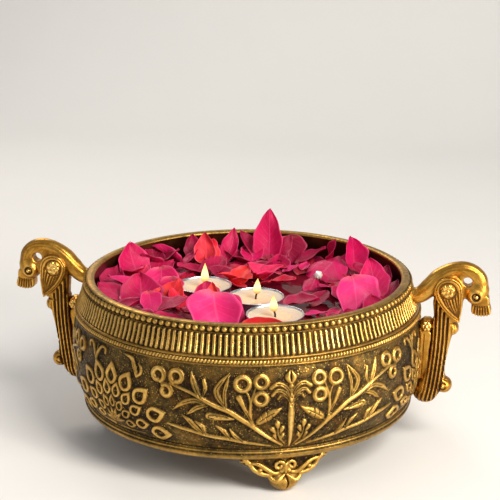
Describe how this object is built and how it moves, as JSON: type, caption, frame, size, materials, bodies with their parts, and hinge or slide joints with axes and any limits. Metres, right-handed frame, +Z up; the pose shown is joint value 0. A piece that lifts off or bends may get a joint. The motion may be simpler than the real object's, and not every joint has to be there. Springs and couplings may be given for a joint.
{
  "type": "brass urli bowl",
  "caption": "Round cast brass floating-candle bowl with peacock handles and scroll feet, holding water, petals and lit tealights.",
  "frame": {"origin": "on the floor under the bowl's axis", "axes": "+Z up, +X along the line of the two handles, -Y towards the front foot"},
  "size_m": [0.332, 0.242, 0.137],
  "materials": {
    "antiqued_brass": "cast relief with dark lacquer in the recesses and worn, satin high points",
    "golden_brass": "cast and hand polished, warm golden, dark in the engraved lines",
    "rivet_brass": "dressed flush",
    "water": "still water, dark red from the petals and the bowl under it",
    "bract": "thin papery bougainvillea bract with fine veins, hot pink to coral",
    "white_petal": "soft matte petal",
    "aluminium": "thin drawn foil cup",
    "wax": "translucent cream wax, softened round the wick",
    "wick": "charred cotton",
    "tinned_steel": "thin stamped disc"
  },
  "bodies": {
    "bowl": {"bowl_shell": "antiqued_brass", "left_peacock_handle": "golden_brass", "left_handle_rivets": "rivet_brass", "right_peacock_handle": "golden_brass", "right_handle_rivets": "rivet_brass", "front_foot": "antiqued_brass", "back_foot": "antiqued_brass", "left_foot": "antiqued_brass", "foot_rivets": "rivet_brass", "water": "water", "left_bracts": "bract", "back_bracts": "bract", "right_bracts": "bract", "front_bracts": "bract", "white_flower": "white_petal"},
    "tealight_1": {"tealight_cup_1": "aluminium", "wax_1": "wax", "wick_1": "wick", "wick_sustainer_1": "tinned_steel"},
    "tealight_2": {"tealight_cup_2": "aluminium", "wax_2": "wax", "wick_2": "wick", "wick_sustainer_2": "tinned_steel"},
    "tealight_3": {"tealight_cup_3": "aluminium", "wax_3": "wax", "wick_3": "wick", "wick_sustainer_3": "tinned_steel"}
  },
  "joints": [
    {"name": "tealight_1_lift", "type": "slide", "parent": "bowl", "child": "tealight_1", "axis": [0, 0, 1], "range_m": [0, 0.06]},
    {"name": "tealight_2_lift", "type": "slide", "parent": "bowl", "child": "tealight_2", "axis": [0, 0, 1], "range_m": [0, 0.06]},
    {"name": "tealight_3_lift", "type": "slide", "parent": "bowl", "child": "tealight_3", "axis": [0, 0, 1], "range_m": [0, 0.06]}
  ]
}
